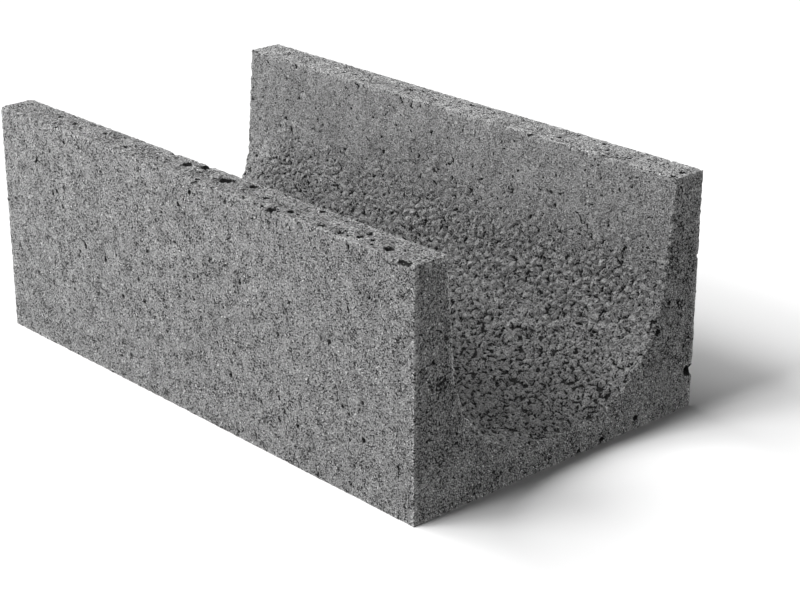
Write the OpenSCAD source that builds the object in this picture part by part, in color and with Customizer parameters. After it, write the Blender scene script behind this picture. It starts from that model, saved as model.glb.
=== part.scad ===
// Concrete channel block: one cast piece with a U-shaped section, open at the top and at both ends.
// The channel runs along X, the bed face lies at z = 0, and the origin is at the middle of that face.

/* [Block] */
// Length along the channel
block_length = 490; // [290:5:590]
// Width over both walls
block_width = 290; // [240:5:390]
// Height from the bed face to the tops of the walls
block_height = 190; // [160:5:250]

/* [Channel] */
// Thickness of each wall at its top
wall_top_thickness = 30; // [22:1:45]
// Lean of the channel's wall faces from upright, in degrees, which lets the core draw out
wall_draft = 4.8; // [0:0.2:8]
// Thickness of the floor along the middle of the channel
floor_thickness = 24; // [18:1:50]
// Radius of the haunches that join the walls to the floor
haunch_radius = 90; // [40:1:110]

/* [Edges] */
// Radius of the worn arrises
arris_radius = 2.5; // [1:0.5:5]

/* [Hidden] */
$fn = 96;

// How far a cutting shape runs past the faces that it cuts
overshoot = 10;
// Least flat width of floor that stays between the two haunches
least_floor_flat = 10;

// Half width of the channel at the tops of the walls
mouth_half = block_width / 2 - wall_top_thickness;
// Depth of the channel along its middle
channel_depth = block_height - floor_thickness;

// Largest haunch that leaves the least floor flat, and the one that stays under the wall tops
haunch_by_width = ((mouth_half - least_floor_flat / 2) * cos(wall_draft) - channel_depth * sin(wall_draft))
    / (1 - sin(wall_draft));
haunch_by_depth = channel_depth - arris_radius;
haunch = min(haunch_radius, haunch_by_width, haunch_by_depth);

// Centre of the right-hand haunch, whose arc is tangent to the wall face and to the floor
haunch_y = mouth_half - (haunch + (channel_depth - haunch) * sin(wall_draft)) / cos(wall_draft);
haunch_z = floor_thickness + haunch;
// Point where the right-hand wall face runs into its haunch
foot_y = haunch_y + haunch * cos(wall_draft);
foot_z = haunch_z - haunch * sin(wall_draft);

// Centre of the rounding along the right-hand wall's inner arris, tangent to the wall face and the top
lip_y = mouth_half + arris_radius * (1 - sin(wall_draft)) / cos(wall_draft);
lip_z = block_height - arris_radius;

// Rectangle with round corners, centred on the origin
module rounded_rectangle(width, height, radius) {
    square([width - 2 * radius, height], center = true);
    square([width, height - 2 * radius], center = true);
    for (side = [-1, 1], end = [-1, 1])
        translate([side * (width / 2 - radius), end * (height / 2 - radius)])
            circle(radius);
}

// Extrudes a section, drawn with Y across and Z up, along X and centred on the origin
module along_length(length) {
    rotate([90, 0, 90])
        linear_extrude(length, center = true)
            children();
}

// The full block before its channel is cast out: three outlines crossed, so that every arris is round
module outer_block() {
    translate([0, 0, block_height / 2])
        intersection() {
            along_length(block_length)
                rounded_rectangle(block_width, block_height, arris_radius);
            rotate([90, 0, 0])
                linear_extrude(block_width, center = true)
                    rounded_rectangle(block_length, block_height, arris_radius);
            linear_extrude(block_height, center = true)
                rounded_rectangle(block_length, block_width, arris_radius);
        }
}

// Section of the channel: straight drafted walls, a flat floor and the two haunch arcs between them
module channel_section() {
    right_side = [
        [haunch_y, floor_thickness],
        [foot_y, foot_z],
        [mouth_half + overshoot * tan(wall_draft), block_height + overshoot]
    ];
    left_side = [for (i = [len(right_side) - 1 : -1 : 0]) [-right_side[i].x, right_side[i].y]];
    polygon(concat(right_side, left_side));
    for (side = [-1, 1])
        translate([side * haunch_y, haunch_z])
            circle(haunch);
}

// What the rounding of the right-hand wall's inner arris takes away from its corner
module lip_corner() {
    reach = arris_radius + overshoot;
    difference() {
        polygon([
            [lip_y, lip_z],
            [lip_y, lip_z + reach],
            [mouth_half - overshoot, lip_z + reach],
            [lip_y - reach * cos(wall_draft), lip_z + reach * sin(wall_draft)]
        ]);
        translate([lip_y, lip_z])
            circle(arris_radius);
    }
}

// The whole block: walls, haunches and floor are one casting
module channel_block() {
    color("gray")
        difference() {
            outer_block();
            along_length(block_length + 2 * overshoot) {
                channel_section();
                lip_corner();
                mirror([1, 0]) lip_corner();
            }
        }
}

channel_block();
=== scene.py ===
import math

import bmesh
import bpy
import numpy as np
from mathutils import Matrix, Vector
from mathutils.kdtree import KDTree

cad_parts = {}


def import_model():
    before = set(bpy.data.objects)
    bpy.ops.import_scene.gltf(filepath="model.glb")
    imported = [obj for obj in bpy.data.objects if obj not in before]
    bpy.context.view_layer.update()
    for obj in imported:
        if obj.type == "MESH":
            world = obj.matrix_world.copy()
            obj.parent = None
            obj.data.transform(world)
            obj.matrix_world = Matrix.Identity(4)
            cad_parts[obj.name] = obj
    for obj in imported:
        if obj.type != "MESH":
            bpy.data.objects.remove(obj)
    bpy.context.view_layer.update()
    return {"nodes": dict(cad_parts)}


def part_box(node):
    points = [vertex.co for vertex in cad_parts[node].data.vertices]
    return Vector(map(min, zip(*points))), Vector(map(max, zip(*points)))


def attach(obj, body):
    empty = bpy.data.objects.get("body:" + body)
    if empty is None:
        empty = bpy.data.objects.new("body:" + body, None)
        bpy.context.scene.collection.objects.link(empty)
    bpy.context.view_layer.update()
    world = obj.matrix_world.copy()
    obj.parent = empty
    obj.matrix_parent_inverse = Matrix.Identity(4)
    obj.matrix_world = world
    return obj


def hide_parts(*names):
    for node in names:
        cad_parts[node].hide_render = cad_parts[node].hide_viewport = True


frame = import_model()

# Names
NODE = "channel_block"
PIECE = "cast_block"
BODY = "root"

# Lengths in the scene are in metres, and those of the surface are in millimetres
MM = 0.001

# The block's box, from the frame
BLOCK_LOW, BLOCK_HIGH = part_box(NODE)
BLOCK_MIDDLE = (BLOCK_LOW + BLOCK_HIGH) / 2

# Mesh: distance at which points are welded, size of the even faces that the relief moves,
# and how many triangles are kept
WELD = 0.01 * MM
FINE_FACE = 1.0 * MM
MOST_TRIANGLES = 190_000

# Camera, fitted to the corners of the block in the photograph
CAMERA_AZIMUTH = 47.3
CAMERA_ELEVATION = 22.0
CAMERA_DISTANCE = 1.5
CAMERA_AIM = Vector((0.1084, -0.0317, 0.095))
CAMERA_LENS = 90.9
SENSOR_WIDTH = 36.0
# Its azimuth is counted from the block's front, which lies at this azimuth from +X
FRONT_AZIMUTH = -90.0

# Lamps of the block: azimuth from +X, elevation, radius of the disc,
# and brightness of a white face square to it
LAMP_DISTANCE = 1.8
BLOCK_LAMPS = {
    "front": (250.0, 16.0, 0.40, 0.49),
    "high": (240.0, 40.0, 0.26, 0.74),
    "top": (244.0, 76.0, 0.32, 0.12),
    "back": (95.0, 37.0, 0.26, 0.44),
    "right": (12.0, 38.0, 0.30, 0.26),
    "rear": (105.0, 10.0, 0.40, 0.40),
    "left": (172.0, 10.0, 0.40, 0.35),
}
# Lamps of the floor, far off and even: azimuth, elevation, width in degrees, and brightness
FLOOR_LAMPS = {
    "floor_left": (196.0, 48.0, 34.0, 0.52),
    "floor_middle": (236.0, 50.0, 24.0, 0.70),
    "floor_front": (260.0, 38.0, 12.0, 0.41),
}
# Even light from all around: its colour, and its strength
WHITE = (1, 1, 1, 1)
AMBIENT = 0.08

# Floor: its width, how pale it is to the camera, and how pale it is for the light that it throws back
FLOOR_SIZE = 12.0
FLOOR_SEEN = 0.90
FLOOR_BOUNCE = 0.30

# Arrises: radius of the CAD model's even rounding, and how much of it is made crisp again
CAD_ARRIS_RADIUS = 2.5
CRISP = 0.95
# Points this near one of the box's faces, with a normal turned partly away from it, lie on an arris
ARRIS_SEARCH = 2.0
ARRIS_TURN = (0.2, 0.95)
# How far the wear of an arris reaches
ARRIS_REACH = 5.0
# Edges that fold more than this are shaded as sharp ones
SHARP_ANGLE = 48.0

# Faces, told by depth inside the box: the channel comes in between the first depths from the sides and bed
# and the second ones from the ends and tops, and the ends and tops themselves fade over the third ones
CHANNEL_INSIDE = (6.0, 14.0)
CHANNEL_EDGE = (0.5, 2.0)
FACE_EDGE = (0.5, 1.5)

# Flat map to bake onto: its name and size, the radius at which the channel is unrolled,
# and where each face's chart starts on it, in millimetres
MAP_NAME = "OFBake"
MAP_SIZE = 1000.0
MAP_CHANNEL_RADIUS = 150.0
MAP_PLACES = {
    "channel": (4, 4),
    "bed": (4, 490),
    "near_side": (504, 4),
    "far_side": (504, 204),
    "left_end": (504, 404),
    "right_end": (504, 604),
    "near_top": (504, 804),
    "far_top": (504, 854),
}

# Pores and chips that stand out in the photograph, placed one by one: place on the block, and width
SEEN_PORES = [
    (-49, -116, 190, 7), (-23, -125, 190, 9), (-7, -119, 190, 10), (17, -130, 190, 5),
    (26, -127, 190, 12), (34, -124, 190, 5), (50, -120, 190, 8), (63, -142, 190, 5),
    (80, -143, 190, 4.5), (87, -143, 190, 5), (97, -142, 190, 9), (76, -130, 190, 6),
    (110, -136, 190, 6), (125, -119, 190, 6), (145, -138, 190, 7), (164, -138, 190, 6),
    (180, -125, 190, 7), (180, -134, 190, 6), (210, -135, 190, 9), (232, -144, 189, 6),
    (238, -143, 189, 6), (-91, -133, 190, 6), (-131, -145, 189, 4), (-167, -143, 189, 5),
    (-165, -128, 190, 6), (-244, -143, 189, 4),
    (182, 120, 190, 5), (239, 118, 190, 5), (97, 116, 190, 5), (125, 141, 190, 5), (172, 118, 190, 4),
    (245, 141, 30, 11), (245, 82, 9, 6), (245, 45, 3, 6), (245, 20, 2, 5), (245, 115, 93, 5),
    (245, 126, 90, 5), (245, 103, 72, 6), (245, -42, 35, 8), (245, -30, 28, 7), (245, -76, 52, 5),
    (245, -91, 73, 4), (245, -105, 93, 4), (245, -127, 117, 5), (245, -132, 60, 4),
]
# Their depth as a share of the half width, size and strength of the noise in their outlines,
# how far inside one its painted shade is full, and how far outside one a point is still told apart
PORE_DEPTH = 1.1
PORE_NOISE = 3.0
PORE_RAGGED = 4.0
PORE_SHADE_EDGE = 0.8
PORE_SEARCH = 4.0


class Tree:
    """Writes node maths as plain calls, alike for shader and geometry trees."""

    def __init__(self, tree):
        self.tree = tree

    def node(self, kind, values=None, **settings):
        """A new node with these input values and settings."""
        made = self.tree.nodes.new(kind)
        for name, value in settings.items():
            setattr(made, name, value)
        for name, value in (values or {}).items():
            self.feed(made.inputs[name], value)
        return made

    def feed(self, socket, value):
        """Sets a socket to a value, or links it to another node's output."""
        if isinstance(value, bpy.types.NodeSocket):
            self.tree.links.new(value, socket)
        else:
            socket.default_value = value

    def maths(self, kind, operation, values):
        """What one operation makes of these values."""
        made = self.node(kind, operation=operation)
        for socket, value in zip(made.inputs, values):
            self.feed(socket, value)
        return made.outputs[0]

    def math(self, operation, *values):
        return self.maths("ShaderNodeMath", operation, values)

    def vector(self, operation, *values):
        return self.maths("ShaderNodeVectorMath", operation, values)

    def add(self, first, *others):
        for other in others:
            first = self.math("ADD", first, other)
        return first

    def times(self, first, *others):
        for other in others:
            first = self.math("MULTIPLY", first, other)
        return first

    def most(self, first, *others):
        for other in others:
            first = self.math("MAXIMUM", first, other)
        return first

    def less(self, first, other):
        return self.math("SUBTRACT", first, other)

    def span(self, value, low, high, to_low=0.0, to_high=1.0, smooth=True):
        """value taken from low..high to to_low..to_high, and held at both ends."""
        kind = "SMOOTHSTEP" if smooth else "LINEAR"
        limits = {"Value": value, "From Min": low, "From Max": high, "To Min": to_low, "To Max": to_high}
        return self.node("ShaderNodeMapRange", limits, interpolation_type=kind).outputs[0]

    def between(self, share, at_none, at_full, smooth=False):
        """at_none where share is 0, and at_full where it is 1."""
        return self.span(share, 0.0, 1.0, at_none, at_full, smooth)

    def noise(self, place, size, detail=2.0, roughness=0.5):
        """Soft noise about 0, mostly within a quarter either way, with features of about this size."""
        values = {"Vector": place, "Scale": 1.0 / size, "Detail": detail, "Roughness": roughness}
        return self.less(self.node("ShaderNodeTexNoise", values).outputs[0], 0.5)

    def waves(self, place, size, strength, **settings):
        """Soft noise of this size, times its strength."""
        return self.times(self.noise(place, size, **settings), strength)

    def cells(self, place, size):
        """Distance to the nearest of scattered points, in spacings, and a random number of that point."""
        made = self.node("ShaderNodeTexVoronoi", {"Vector": place, "Scale": 1.0 / size})
        return made.outputs["Distance"], self.axes(made.outputs["Color"])[0]

    def seams(self, place, size):
        """Distance to the nearest seam between the cells of scattered points, in spacings."""
        values = {"Vector": place, "Scale": 1.0 / size}
        return self.node("ShaderNodeTexVoronoi", values, feature="DISTANCE_TO_EDGE").outputs["Distance"]

    def axes(self, place):
        """The three parts of a place."""
        return self.node("ShaderNodeSeparateXYZ", {"Vector": place}).outputs

    def stretched(self, place, along):
        """place, with patterns on it drawn out along one axis or more."""
        return self.vector("DIVIDE", place, along)

    def shaken(self, place, size, reach):
        """place, moved about by noise, so that patterns on it lose their even outlines."""
        noise = self.node("ShaderNodeTexNoise", {"Vector": place, "Scale": 1.0 / size}).outputs[1]
        return self.vector("ADD", place, self.vector("MULTIPLY", noise, (reach, reach, reach)))


class ReliefTree(Tree):
    """A geometry tree: reads the mesh as it is before the relief moves it."""

    def attribute(self, name):
        return self.node("GeometryNodeInputNamedAttribute", {"Name": name}, data_type="FLOAT").outputs[0]

    def place(self):
        return self.vector("DIVIDE", self.node("GeometryNodeInputPosition").outputs[0], (MM, MM, MM))


class SkinTree(Tree):
    """A shader tree: reads what the geometry tree has kept on the mesh."""

    def attribute(self, name):
        return self.node("ShaderNodeAttribute", attribute_name=name).outputs["Fac"]

    def place(self):
        rest = self.node("ShaderNodeAttribute", attribute_name="rest").outputs["Vector"]
        return self.vector("DIVIDE", rest, (MM, MM, MM))


# Patterns of the surface

# Lengths are in millimetres, and places are those on the block. A pattern with holes gives its height,
# and how far a place is a hole, from 0 to 1.

# Holes: mean spacing, share of the places that have one, largest radius, and depth
PITS = {"spacing": 7.0, "share": 0.40, "widest": 1.7, "depth": 1.4}
PORES = {"spacing": 6.0, "share": 0.55, "widest": 2.6, "depth": 2.0}
CHIPS = {"spacing": 18.0, "share": 0.35, "widest": 4.5, "depth": 1.6}
# Share of the largest radius over which a hole's wall slopes, and how pits are drawn out upwards
HOLE_SLOPE = 0.25
PIT_STRETCH = (1.0, 1.0, 1.5)
# Size and reach of the noise that makes their outlines ragged
HOLE_SHAKE = (2.0, 3.0)


def holes(tree, place, spacing, share, widest, depth):
    """Scattered holes, each with a radius of its own up to widest."""
    distance, chance = tree.cells(place, spacing)
    reach = widest / spacing
    radius = tree.span(chance, 1.0 - share, 1.0, 0.0, reach, smooth=False)
    hole = tree.span(tree.less(radius, distance), 0.0, HOLE_SLOPE * reach)
    return tree.times(hole, -depth), hole


# Skin: how its open patches are drawn out upwards, their size, and the levels of noise
# at which it is closed and open
SKIN_STRETCH = (1.0, 1.0, 1.3)
SKIN_PATCH = 9.0
SKIN_LEVELS = (-0.12, 0.12)


def openness(tree, place):
    """How far the grains show: 0 where paste closes the skin, 1 where it is open."""
    patches = tree.noise(tree.stretched(place, SKIN_STRETCH), SKIN_PATCH, detail=3.0, roughness=0.6)
    return tree.span(patches, *SKIN_LEVELS)


# Tears: size, level of noise below which the skin is torn where it is closed and open, softness, and depth
TEAR_SIZE = 2.4
TEAR_LEVELS = (-0.16, -0.075)
TEAR_EDGE = 0.05
TEAR_DEPTH = 0.8
# How much more open the ends and tops count as, and how much painted shade darkens tears
TEAR_ENDS = 0.4
TEAR_TOPS = 0.3
TEAR_SHADE = 0.8


def tears(tree, place, bare):
    """Small ragged pits, more of them where the skin is open."""
    torn = tree.noise(tree.stretched(place, SKIN_STRETCH), TEAR_SIZE, detail=3.0, roughness=0.7)
    edge = tree.between(bare, *TEAR_LEVELS)
    hole = tree.span(tree.less(edge, torn), 0.0, TEAR_EDGE)
    return tree.times(hole, -TEAR_DEPTH), hole


# Pinholes: mean spacing, size and reach of the noise in their outlines, smallest and largest radius in
# spacings, what open skin adds to the chance that sets the radius, softness, and depth
PIN_SPACING = 1.45
PIN_SHAKE = (0.9, 1.6)
PIN_RADII = (0.10, 0.63)
PIN_OPEN = 0.18
PIN_EDGE = 0.10
PIN_DEPTH = 0.45
# Their painted shade fades up the channel's walls between these heights, to this share
PIN_LEVELS = (90.0, 150.0)
PIN_UPPER = 0.7


def pinholes(tree, place, bare):
    """Tiny holes between grains of sand, which the material darkens with painted shade into fine dark specks.
    """
    distance, chance = tree.cells(tree.shaken(place, *PIN_SHAKE), PIN_SPACING)
    wider = tree.add(chance, tree.times(bare, PIN_OPEN))
    radius = tree.span(wider, PIN_OPEN, 1.0 + PIN_OPEN, *PIN_RADII, smooth=False)
    hole = tree.span(tree.less(radius, distance), 0.0, PIN_EDGE)
    return tree.times(hole, -PIN_DEPTH), hole


# Coarseness: how its levels lean along the block, size and strength of their waviness, heights at which it is
# least and full, the least of it, and where and to what share it fades at the right-hand end
COARSE_LEAN = -0.06
COARSE_WAVES = (45.0, 90.0)
COARSE_LEVELS = (170.0, 80.0)
COARSE_LEAST = 0.25
COARSE_ALONG = (245.0, 190.0)
COARSE_END = 0.85


def coarseness(tree, place):
    """How open the channel's face is: more so low down and away from the right-hand end."""
    along, _, height = tree.axes(place)
    level = tree.add(height, tree.times(along, COARSE_LEAN), tree.waves(place, *COARSE_WAVES))
    low = tree.span(level, *COARSE_LEVELS, COARSE_LEAST, 1.0)
    return tree.times(low, tree.span(along, *COARSE_ALONG, COARSE_END, 1.0))


# Pellets: mean width, size and reach of the noise in their outlines, and size and strength of the noise
# along their seams
PELLET_SIZE = 7.0
PELLET_SHAKE = (3.0, 3.0)
PELLET_SEAM = (1.0, 0.06)
# Distance from the seam at their foot and crown, their heights there as shares of the whole, so that they are
# about centred on the solid's face, and the whole where the face is finest and coarsest
DOME_SEAM = (-0.05, 0.45)
DOME_SHARES = (-0.4, 0.6)
DOME_HEIGHTS = (0.15, 2.7)
# Creases between them, darkened as painted shade: width, and darkness where the face is finest and coarsest
CREASE_WIDTH = 0.18
CREASE_SHADE = (0.06, 0.45)
# Gaps between them: size and strength of the noise that opens them, what the coarseness adds to their width
# from none to full, heights between which they widen towards the floor and by how much, softness, and depth
GAP_NOISE = (4.5, 1.1)
GAP_COARSE = (-0.135, -0.045)
GAP_LEVELS = (65.0, 26.0)
GAP_FLOOR = 0.10
GAP_EDGE = 0.05
GAP_DEPTH = 1.0


def pellets(tree, place, coarse):
    """Grains of paste and stone pressed against the core, with gaps along some of their seams, and painted
    shade in their gaps and creases.
    """
    seam = tree.seams(tree.shaken(place, *PELLET_SHAKE), PELLET_SIZE)
    edge = tree.add(seam, tree.waves(place, *PELLET_SEAM, detail=1.0))
    more = tree.between(coarse, *GAP_COARSE)
    bottom = tree.span(tree.axes(place)[2], *GAP_LEVELS, 0.0, GAP_FLOOR)
    width = tree.add(tree.waves(place, *GAP_NOISE), more, bottom)
    gap = tree.span(tree.less(width, edge), 0.0, GAP_EDGE)
    whole = tree.span(coarse, COARSE_LEAST, 1.0, *DOME_HEIGHTS, smooth=False)
    dome = tree.times(tree.span(edge, *DOME_SEAM, *DOME_SHARES), whole)
    # Painted shade in the creases between pellets, darker where the face is coarse
    crease_shade_strength = tree.span(coarse, COARSE_LEAST, 1.0, *CREASE_SHADE, smooth=False)
    crease_shade = tree.times(tree.span(edge, CREASE_WIDTH, 0.0), crease_shade_strength)
    return tree.add(dome, tree.times(gap, -GAP_DEPTH)), tree.most(gap, crease_shade)


# Crumbs: mean width, size and reach of the noise in their outlines, size and strength of the noise along
# their seams, distance from the seam at their foot and crown, and heights there
CRUMB_SIZE = 3.0
CRUMB_SHAKE = (1.0, 2.0)
CRUMB_SEAM = (0.8, 0.15)
CRUMB_REACH = (0.0, 0.35)
CRUMB_HEIGHTS = (-0.3, 0.4)
# Nicks between them: size and strength of the noise that opens them and of their patches, what is added to
# their width from the tops down and at the foot, softness, depth, and darkness
NICK_NOISE = (2.6, 1.2)
NICK_PATCHES = (14.0, 0.7)
NICK_LEVELS = (189.0, 90.0)
NICK_DOWN = (-0.07, -0.01)
NICK_FOOT_LEVELS = (70.0, 20.0)
NICK_FOOT = -0.09
NICK_EDGE = 0.07
NICK_DEPTH = 0.6
# The last is the strength of the painted shade in the nicks
NICK_SHADE = 0.8


def crumbs(tree, place):
    """Small broken grains on the ends and tops, with nicks between them, in patches; the nicks get painted
    shade.
    """
    seam = tree.seams(tree.shaken(place, *CRUMB_SHAKE), CRUMB_SIZE)
    edge = tree.add(seam, tree.waves(place, *CRUMB_SEAM, detail=1.0))
    height = tree.axes(place)[2]
    down = tree.span(height, *NICK_LEVELS, *NICK_DOWN)
    foot = tree.span(height, *NICK_FOOT_LEVELS, 0.0, NICK_FOOT)
    patches = tree.waves(place, *NICK_PATCHES)
    width = tree.add(tree.waves(place, *NICK_NOISE), patches, tree.add(down, foot))
    nick = tree.span(tree.less(width, edge), 0.0, NICK_EDGE)
    dome = tree.span(edge, *CRUMB_REACH, *CRUMB_HEIGHTS)
    return tree.add(dome, tree.times(nick, -NICK_DEPTH)), nick


# How far the tops are broken, between these places across the block
BROKEN_ACROSS = (-100.0, 100.0)
BROKEN_TOPS = (0.85, 0.75)


def brokenness(tree, place):
    """How far the grains have broken open: on the ends, and on the tops, less on the far one."""
    nearer = tree.span(tree.axes(place)[1], *BROKEN_ACROSS, *BROKEN_TOPS)
    return tree.most(tree.attribute("end"), tree.times(tree.attribute("top"), nearer))


# Rim of the channel: how the levels of its loss fall across the block, those at which it is least and full,
# the least of it, where it is least and full along the block, the least there, size and levels of the noise
# that breaks it up, and depth
RIM_LEAN = 0.3
RIM_LEVELS = (150.0, 70.0)
RIM_LEAST = 0.1
RIM_ALONG = (-200.0, 200.0)
RIM_LEFT = 0.15
RIM_NOISE = 5.0
RIM_NOISE_LEVELS = (-0.02, 0.12)
RIM_DEPTH = 5.0


def rim_loss(tree, place):
    """How far the channel's rim is lost: most at the right-hand end, low down and on the far side."""
    along, across, height = tree.axes(place)
    level = tree.less(height, tree.times(across, RIM_LEAN))
    low = tree.span(level, *RIM_LEVELS, RIM_LEAST, 1.0)
    right = tree.span(along, *RIM_ALONG, RIM_LEFT, 1.0)
    broken = tree.span(tree.noise(place, RIM_NOISE), *RIM_NOISE_LEVELS)
    return tree.times(broken, tree.times(low, right), tree.attribute("rim"), RIM_DEPTH)


# Size and strength of the noise in swells of the faces, in lumps, and in the wear of the arrises
SWELL = (60.0, 0.8)
LUMPS = (8.0, 0.4)
WEAR = (3.5, 1.6)


def broad_relief(tree, place):
    """The slow part of the surface's shape: swells, worn arrises and the channel's broken rim."""
    chip_height, _ = holes(tree, tree.shaken(place, *HOLE_SHAKE), **CHIPS)
    worn = tree.add(tree.waves(place, *WEAR), chip_height)
    return tree.add(
        tree.waves(place, *SWELL),
        tree.waves(place, *LUMPS),
        tree.times(rim_loss(tree, place), -1.0),
        tree.times(worn, tree.attribute("arris")),
        tree.attribute("crisp"),
    )


# Crumbs and open pores fade between these nearnesses to an arris, to this share of themselves
WORN_ARRIS = (0.2, 0.9)
WORN_SHARE = 0.2


def fine_relief(tree, place):
    """The grains and holes of the surface: height, and how far each place gets painted shade as a hole, gap,
    crease, nick or seen pore.
    """
    channel, top, arris = (tree.attribute(name) for name in ("channel", "top", "arris"))
    outside = tree.less(1.0, channel)
    worn = tree.span(arris, *WORN_ARRIS, 1.0, WORN_SHARE)
    broken = tree.times(brokenness(tree, place), worn)
    pored = tree.times(top, worn)
    ragged = tree.shaken(place, *HOLE_SHAKE)
    seen = tree.add(tree.attribute("pore"), tree.waves(place, PORE_NOISE, PORE_RAGGED))
    pit_height, pit = holes(tree, tree.stretched(ragged, PIT_STRETCH), **PITS)
    pore_height, open_pore = holes(tree, ragged, **PORES)
    pellet_height, gap = pellets(tree, place, coarseness(tree, place))
    crumb_height, nick = crumbs(tree, place)
    height = tree.add(
        tree.times(pit_height, outside),
        tree.times(pore_height, pored),
        tree.times(pellet_height, channel),
        tree.times(crumb_height, broken),
        tree.times(tree.most(seen, 0.0), -PORE_DEPTH),
    )
    # Where shade is painted: holes, gaps, creases, nicks and the seen pores
    hole = tree.most(
        tree.times(pit, outside),
        tree.times(open_pore, pored),
        tree.times(gap, channel),
        tree.times(nick, broken, NICK_SHADE),
        tree.span(seen, 0.0, PORE_SHADE_EDGE),
    )
    return height, hole


# Mesh of the block

def apply_modifiers(piece):
    """Makes the piece's modifiers part of its mesh."""
    graph = bpy.context.evaluated_depsgraph_get()
    old = piece.data
    piece.data = bpy.data.meshes.new_from_object(piece.evaluated_get(graph))
    piece.modifiers.clear()
    bpy.data.meshes.remove(old)


def fine_copy():
    """A closed copy of the CAD block in small even faces."""
    mesh = frame["nodes"][NODE].data.copy()
    welded = bmesh.new()
    welded.from_mesh(mesh)
    bmesh.ops.remove_doubles(welded, verts=welded.verts, dist=WELD)
    welded.to_mesh(mesh)
    welded.free()
    piece = bpy.data.objects.new(PIECE, mesh)
    bpy.context.scene.collection.objects.link(piece)
    even = piece.modifiers.new("even_faces", "REMESH")
    even.mode = "VOXEL"
    even.voxel_size = FINE_FACE
    apply_modifiers(piece)
    return piece


def read_vectors(collection, name):
    """One row of three numbers for each item of a mesh collection."""
    found = np.empty(len(collection) * 3, np.float32)
    collection.foreach_get(name, found)
    return found.reshape(-1, 3).astype(float)


def store(mesh, name, values):
    """Keeps one number for each point of the mesh, under a name."""
    made = mesh.attributes.new(name, "FLOAT", "POINT")
    made.data.foreach_set("value", values.astype(np.float32))


def smooth_step(value, low, high):
    """0 up to low, 1 from high on, and a smooth rise between them."""
    part = np.clip((value - low) / (high - low), 0.0, 1.0)
    return part * part * (3.0 - 2.0 * part)


def face_depths(place):
    """How far inside the box's faces each point is, in millimetres."""
    low, high = np.array(BLOCK_LOW) / MM, np.array(BLOCK_HIGH) / MM
    return {
        "end": np.minimum(place[:, 0] - low[0], high[0] - place[:, 0]),
        "side": np.minimum(place[:, 1] - low[1], high[1] - place[:, 1]),
        "bed": place[:, 2] - low[2],
        "top": high[2] - place[:, 2],
    }


def arris_weight(place, normal, depth):
    """1 along every arris, falling to 0 where its wear ends."""
    turned = np.abs(normal)
    axes = {"end": 0, "side": 1, "bed": 2, "top": 2}
    on_arris = np.zeros(len(place), bool)
    for face, axis in axes.items():
        near = depth[face] < ARRIS_SEARCH
        on_arris |= near & (turned[:, axis] > ARRIS_TURN[0]) & (turned[:, axis] < ARRIS_TURN[1])
    tree = KDTree(int(on_arris.sum()))
    for index, point in enumerate(place[on_arris]):
        tree.insert(point, index)
    tree.balance()
    away = np.array([tree.find(point)[2] for point in place])
    return 1.0 - smooth_step(away, 0.0, ARRIS_REACH)


def crisp_offset(normal, depth):
    """How far a rounded arris has to move out to be nearly a sharp one."""
    near = sum((depth[face] < CAD_ARRIS_RADIUS).astype(int) for face in depth)
    outward = CAD_ARRIS_RADIUS * (1.0 / np.abs(normal).max(axis=1) - 1.0)
    lip = (depth["top"] < CAD_ARRIS_RADIUS) & (depth["end"] >= CAD_ARRIS_RADIUS)
    return CRISP * outward * ((near >= 2) | lip)


def pore_reach(place):
    """How far inside the nearest of the seen pores each point is, in millimetres; less than 0 outside."""
    inside = np.full(len(place), -PORE_SEARCH)
    for along, across, up, width in SEEN_PORES:
        away = np.linalg.norm(place - (along, across, up), axis=1)
        inside = np.maximum(inside, width / 2 - away)
    return inside


def mark_regions(piece):
    """Keeps on each point which face it belongs to, its nearness to an arris, and the large pores."""
    place = read_vectors(piece.data.vertices, "co") / MM
    normal = read_vectors(piece.data.vertex_normals, "vector")
    depth = face_depths(place)
    open_faces = np.minimum(depth["end"], depth["top"])
    within = smooth_step(np.minimum(depth["side"], depth["bed"]), *CHANNEL_INSIDE)
    arris = arris_weight(place, normal, depth)
    store(piece.data, "channel", within * smooth_step(open_faces, *CHANNEL_EDGE))
    store(piece.data, "rim", arris * within * (depth["end"] < ARRIS_REACH))
    store(piece.data, "top", 1.0 - smooth_step(depth["top"], *FACE_EDGE))
    store(piece.data, "end", 1.0 - smooth_step(depth["end"], *FACE_EDGE))
    store(piece.data, "arris", arris)
    store(piece.data, "pore", pore_reach(place))
    store(piece.data, "crisp", crisp_offset(normal, depth))


def roughen(piece):
    """Moves each point along its normal by the relief, and keeps its earlier place for the material."""
    group = bpy.data.node_groups.new("concrete_relief", "GeometryNodeTree")
    for way in ("INPUT", "OUTPUT"):
        group.interface.new_socket("Geometry", in_out=way, socket_type="NodeSocketGeometry")
    tree = ReliefTree(group)
    source = tree.node("NodeGroupInput")
    rest = {
        "Geometry": source.outputs[0],
        "Name": "rest",
        "Value": tree.node("GeometryNodeInputPosition").outputs[0],
    }
    kept = tree.node("GeometryNodeStoreNamedAttribute", rest, data_type="FLOAT_VECTOR", domain="POINT")
    place = tree.place()
    fine_height, _ = fine_relief(tree, place)
    height = tree.times(tree.add(broad_relief(tree, place), fine_height), MM)
    normal = tree.node("GeometryNodeInputNormal").outputs[0]
    offset = tree.node("ShaderNodeVectorMath", {0: normal, "Scale": height}, operation="SCALE")
    moved = tree.node("GeometryNodeSetPosition", {"Geometry": kept.outputs[0], "Offset": offset.outputs[0]})
    tree.node("NodeGroupOutput", {0: moved.outputs[0]})
    piece.modifiers.new("relief", "NODES").node_group = group
    apply_modifiers(piece)


def thin_out(piece):
    """Fewer triangles, kept where the relief needs them."""
    triangles = sum(len(face.vertices) - 2 for face in piece.data.polygons)
    fewer = piece.modifiers.new("fewer", "DECIMATE")
    fewer.ratio = MOST_TRIANGLES / triangles
    fewer.use_collapse_triangulate = True
    apply_modifiers(piece)
    piece.data.shade_smooth()
    piece.data.set_sharp_from_angle(angle=math.radians(SHARP_ANGLE))


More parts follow.
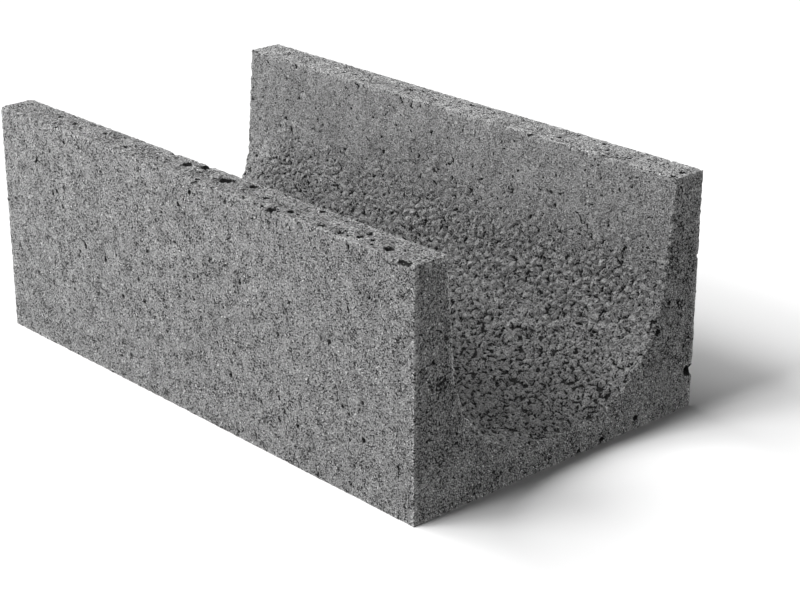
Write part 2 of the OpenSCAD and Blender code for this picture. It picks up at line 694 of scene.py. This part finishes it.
def face_charts(place):
    """For each face of the block, its triangles, and where all corners lie when that face is laid flat."""
    triangles = place.reshape(-1, 3, 3)
    first, second, third = triangles.transpose(1, 0, 2)
    facing = np.abs(np.cross(second - first, third - first)).argmax(axis=1)
    middle = triangles.mean(axis=1)
    depth = face_depths(middle)
    ends = facing == 0
    sides = (facing == 1) & (depth["side"] < CAD_ARRIS_RADIUS)
    tops = (facing == 2) & (depth["top"] < CAD_ARRIS_RADIUS)
    bed = (facing == 2) & (depth["bed"] < CAD_ARRIS_RADIUS)
    right, far = middle[:, 0] > 0, middle[:, 1] > 0
    along, across, up = (place - np.array(BLOCK_LOW) / MM).T
    turn = np.arctan2(place[:, 1], BLOCK_HIGH.z / MM - place[:, 2])
    unrolled = MAP_CHANNEL_RADIUS * (turn + np.pi / 2)
    return {
        "channel": (~(ends | sides | tops | bed), along, unrolled),
        "bed": (bed, along, across),
        "near_side": (sides & ~far, along, up),
        "far_side": (sides & far, along, up),
        "left_end": (ends & ~right, across, up),
        "right_end": (ends & right, across, up),
        "near_top": (tops & ~far, along, across),
        "far_top": (tops & far, along, across),
    }


def bake_map(piece):
    """Lays each face of the block flat on one map, so that the material can be baked onto it evenly."""
    mesh = piece.data
    rest = read_vectors(mesh.attributes["rest"].data, "vector") / MM
    corners = np.empty(len(mesh.loops), np.int32)
    mesh.loops.foreach_get("vertex_index", corners)
    flat = np.zeros((len(corners), 2))
    for name, (chosen, first, second) in face_charts(rest[corners]).items():
        picked = np.repeat(chosen, 3)
        laid = np.column_stack((first, second))[picked]
        flat[picked] = laid - laid.min(axis=0) + MAP_PLACES[name]
    layer = mesh.uv_layers.new(name=MAP_NAME)
    layer.data.foreach_set("uv", (flat / MAP_SIZE).astype(np.float32).ravel())


# Material of the block

# Sand: size of its grains, strength where the skin is closed and open, how far it changes the paste's tone,
# height in the bump, and what the channel adds to that
SAND_SIZE = 1.1
SAND_STRENGTH = (0.75, 1.15)
SAND_TONE = 2.4
SAND_HEIGHT = 3.4
SAND_CHANNEL = -0.6
# Pale grains: the share of grains that are not pale, and how pale they are on the long sides and elsewhere
PALE_FROM = 0.88
PALE_SIDES = 0.9
PALE_OTHERS = 0.5


def pale_grains(tree, place, strength):
    """How much paler some grains of sand are than the paste."""
    _, chance = tree.cells(place, SAND_SIZE)
    others = tree.most(*(tree.attribute(name) for name in ("top", "end", "channel")))
    plain = tree.between(others, PALE_SIDES, PALE_OTHERS, smooth=True)
    return tree.times(tree.span(chance, PALE_FROM, 1.0), strength, plain)


# Streaks drawn out upwards, and clouds: size and strength of their noise
STREAK_STRETCH = (1.0, 1.0, 6.0)
STREAKS = (3.0, 0.5)
CLOUDS = (35.0, 0.4)
# Painted highlight along the arrises: the higher the power, the narrower the line
ARRIS_POWER = 6.0
ARRIS_HIGHLIGHT = 0.10


def paste_tone_and_highlight(tree, place):
    """How the paste's tone varies: streaks and clouds, and a painted highlight along the arrises."""
    streaks = tree.waves(tree.stretched(place, STREAK_STRETCH), *STREAKS)
    clouds = tree.waves(place, *CLOUDS, detail=3.0, roughness=0.6)
    # Painted highlight, paler along the arrises
    arris = tree.times(tree.math("POWER", tree.attribute("arris"), ARRIS_POWER), ARRIS_HIGHLIGHT)
    return tree.times(tree.add(1.0, streaks), tree.add(1.0, clouds), tree.add(1.0, arris))


# Tops: how much darker they are, between these places across the block
TOP_ACROSS = (-60.0, 60.0)
TOP_DARKER = (0.04, -0.10)
# Painted highlight along the near rim at the right-hand end: where it comes in along and across the block,
# the power that narrows it, and how much paler it makes the rim between these heights
LINE_ALONG = (0.0, 200.0)
LINE_ACROSS = (0.0, -60.0)
LINE_POWER = 4.0
LINE_LEVELS = (20.0, 90.0)
LINE_HIGHLIGHT = (0.05, 0.45)
# Painted shade up the channel's walls, and painted light on its haunches and on the foot of the ends
UPPER_LEVELS = (95.0, 160.0)
UPPER_PAINTED_SHADE = 0.11
HAUNCH_TOP = (120.0, 90.0)
HAUNCH_FOOT = (35.0, 60.0)
HAUNCH_PAINTED_LIGHT = 0.14
FOOT_LEVELS = (60.0, 15.0)
FOOT_PAINTED_LIGHT = 0.16


def face_tone_and_painted_light(tree, place):
    """How much paler or darker parts of the faces are: the tops darker or paler across the block, a painted
    highlight on the near rim, painted shade up the channel's walls, and painted light on its haunches and the
    foot of the ends.
    """
    channel, top, end, rim = (tree.attribute(name) for name in ("channel", "top", "end", "rim"))
    along, across, height = tree.axes(place)
    near_right = tree.times(tree.span(along, *LINE_ALONG), tree.span(across, *LINE_ACROSS))
    # Painted highlight on the near rim
    rim_highlight = tree.times(tree.math("POWER", rim, LINE_POWER), near_right, tree.less(1.0, top))
    # Painted light on the haunches and the foot of the ends, and painted shade up the walls below
    haunch_light = tree.times(channel, tree.span(height, *HAUNCH_TOP), tree.span(height, *HAUNCH_FOOT))
    foot = tree.times(end, tree.span(height, *FOOT_LEVELS))
    return tree.times(
        tree.less(1.0, tree.times(top, tree.span(across, *TOP_ACROSS, *TOP_DARKER))),
        tree.add(1.0, tree.times(rim_highlight, tree.span(height, *LINE_LEVELS, *LINE_HIGHLIGHT))),
        tree.less(1.0, tree.times(channel, tree.span(height, *UPPER_LEVELS, 0.0, UPPER_PAINTED_SHADE))),
        tree.add(1.0, tree.times(haunch_light, HAUNCH_PAINTED_LIGHT), tree.times(foot, FOOT_PAINTED_LIGHT)),
    )


# Mean grey, what is left of it where shade is painted into holes and pinholes, and how much more contrast
# broken faces have
GREY = 0.355
HOLE_SHADE_TONE = 0.08
PIN_SHADE_TONE = 0.10
BROKEN_CONTRAST = 0.5
# Finish, and the share of the fine relief that the bump repeats
ROUGHNESS = 0.92
SPECULAR = 0.25
BUMP_RELIEF = 0.8


def skin(tree, place):
    """The surface's tone, as a share of the mean grey, with its painted shade and painted highlights, and the
    height of its bump.
    """
    channel, top, end = (tree.attribute(name) for name in ("channel", "top", "end"))
    outside = tree.less(1.0, channel)
    height, hole = fine_relief(tree, place)
    bare = openness(tree, place)
    torn = tree.add(bare, tree.times(end, TEAR_ENDS), tree.times(top, TEAR_TOPS))
    tear_height, tear = tears(tree, place, torn)
    pin_height, pin = pinholes(tree, place, bare)
    upper = tree.times(channel, tree.span(tree.axes(place)[2], *PIN_LEVELS))
    # Painted shade in the pinholes, weaker up the channel's walls
    pin_shade = tree.times(pin, tree.between(upper, 1.0, PIN_UPPER, smooth=True))
    # Painted shade in holes, gaps, creases, nicks, tears and the seen pores
    hole_shade = tree.most(hole, tree.times(tear, outside, TEAR_SHADE))
    strength = tree.between(bare, *SAND_STRENGTH)
    sand = tree.noise(place, SAND_SIZE, detail=1.0, roughness=0.6)
    tone = tree.times(
        tree.add(1.0, pale_grains(tree, place, strength)),
        tree.between(pin_shade, 1.0, PIN_SHADE_TONE),
        tree.add(1.0, tree.times(sand, SAND_TONE)),
        paste_tone_and_highlight(tree, place),
        face_tone_and_painted_light(tree, place),
        tree.between(hole_shade, 1.0, HOLE_SHADE_TONE, smooth=True),
    )
    contrast = tree.add(1.0, tree.times(brokenness(tree, place), BROKEN_CONTRAST))
    sand_height = tree.times(sand, strength, tree.add(SAND_HEIGHT, tree.times(channel, SAND_CHANNEL)))
    bump_height = tree.add(
        tree.times(height, BUMP_RELIEF),
        sand_height,
        pin_height,
        tree.times(tear_height, outside),
    )
    return tree.math("POWER", tone, contrast), bump_height


def concrete():
    """Grey pressed concrete: paste with grains of sand, with painted shade in its pits and gaps and a painted
    highlight along the arrises.
    """
    material = bpy.data.materials.new("concrete")
    material.use_nodes = True
    tree = SkinTree(material.node_tree)
    tone, bump_height = skin(tree, tree.place())
    grey = tree.times(tone, GREY)
    colour = tree.node("ShaderNodeCombineColor", {"Red": grey, "Green": grey, "Blue": grey})
    bump = tree.node("ShaderNodeBump", {"Height": bump_height, "Distance": MM, "Strength": 1.0})
    shader = material.node_tree.nodes["Principled BSDF"]
    shader.inputs["Roughness"].default_value = ROUGHNESS
    shader.inputs["Specular IOR Level"].default_value = SPECULAR
    tree.feed(shader.inputs["Base Color"], colour.outputs[0])
    tree.feed(shader.inputs["Normal"], bump.outputs[0])
    return material


def cast_block():
    """The whole block, as one casting."""
    piece = fine_copy()
    mark_regions(piece)
    roughen(piece)
    thin_out(piece)
    bake_map(piece)
    piece.data.materials.clear()
    piece.data.materials.append(concrete())
    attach(piece, BODY)
    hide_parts(NODE)
    return piece


# Studio

def floor_material():
    """Pale to the camera, and greyer for the light that it throws back."""
    material = bpy.data.materials.new("floor")
    material.use_nodes = True
    nodes = material.node_tree.nodes
    nodes.remove(nodes["Principled BSDF"])
    tree = Tree(material.node_tree)
    seen = tree.node("ShaderNodeBsdfDiffuse", {"Color": (FLOOR_SEEN, FLOOR_SEEN, FLOOR_SEEN, 1)})
    bounced = tree.node("ShaderNodeBsdfDiffuse", {"Color": (FLOOR_BOUNCE, FLOOR_BOUNCE, FLOOR_BOUNCE, 1)})
    to_camera = tree.node("ShaderNodeLightPath").outputs["Is Camera Ray"]
    mix = tree.node("ShaderNodeMixShader", {0: to_camera, 1: bounced.outputs[0], 2: seen.outputs[0]})
    tree.feed(nodes["Material Output"].inputs["Surface"], mix.outputs[0])
    return material


def floor():
    """The plain floor that the block stands on."""
    bpy.ops.mesh.primitive_plane_add(size=FLOOR_SIZE, location=(0, 0, BLOCK_LOW.z))
    plane = bpy.context.object
    plane.name = "floor"
    plane.data.materials.append(floor_material())
    return plane


def world():
    """White where it is seen, and a weak even light for the rest."""
    made = bpy.data.worlds.new("studio")
    bpy.context.scene.world = made
    made.use_nodes = True
    tree = Tree(made.node_tree)
    path = tree.node("ShaderNodeLightPath")
    shown = tree.most(*(path.outputs[f"Is {kind} Ray"] for kind in ("Camera", "Glossy", "Transmission")))
    background = made.node_tree.nodes["Background"]
    background.inputs["Color"].default_value = WHITE
    tree.feed(background.inputs["Strength"], tree.between(shown, AMBIENT, 1.0))


def towards(azimuth, elevation):
    """Unit vector to a place seen at an azimuth from +X and an elevation, in degrees."""
    azimuth, elevation = math.radians(azimuth), math.radians(elevation)
    flat = math.cos(elevation)
    return Vector((flat * math.cos(azimuth), flat * math.sin(azimuth), math.sin(elevation)))


def hold(name, data, back):
    """Puts a camera or lamp into the scene, turned to look away from back."""
    held = bpy.data.objects.new(name, data)
    held.rotation_euler = back.to_track_quat("Z", "Y").to_euler()
    bpy.context.scene.collection.objects.link(held)
    return held


def lights_only(held, lit):
    """Ties a lamp to the one object that it lights."""
    receivers = bpy.data.collections.new(held.name + "_lights")
    receivers.objects.link(lit)
    held.light_linking.receiver_collection = receivers


def soft_lamp(name, azimuth, elevation, radius, brightness, lit):
    """A disc lamp that lights one object only."""
    data = bpy.data.lights.new(name, "AREA")
    data.shape = "DISK"
    data.size = 2 * radius
    data.energy = brightness * (math.pi * LAMP_DISTANCE) ** 2
    back = towards(azimuth, elevation)
    held = hold(name, data, back)
    held.location = BLOCK_MIDDLE + back * LAMP_DISTANCE
    lights_only(held, lit)


def even_lamp(name, azimuth, elevation, width, brightness, lit):
    """A lamp so far off that it lights one object evenly."""
    data = bpy.data.lights.new(name, "SUN")
    data.angle = math.radians(width)
    data.energy = brightness * math.pi
    lights_only(hold(name, data, towards(azimuth, elevation)), lit)


def camera():
    """The photograph's view of the block."""
    data = bpy.data.cameras.new("camera")
    data.sensor_width = SENSOR_WIDTH
    data.lens = CAMERA_LENS
    back = towards(CAMERA_AZIMUTH + FRONT_AZIMUTH, CAMERA_ELEVATION)
    held = hold("camera", data, back)
    held.location = CAMERA_AIM + back * CAMERA_DISTANCE
    bpy.context.scene.camera = held


camera()
block = cast_block()
ground = floor()
world()
for lamp_name, settings in BLOCK_LAMPS.items():
    soft_lamp(lamp_name, *settings, block)
for lamp_name, settings in FLOOR_LAMPS.items():
    even_lamp(lamp_name, *settings, ground)
bpy.context.scene.view_settings.view_transform = "Standard"
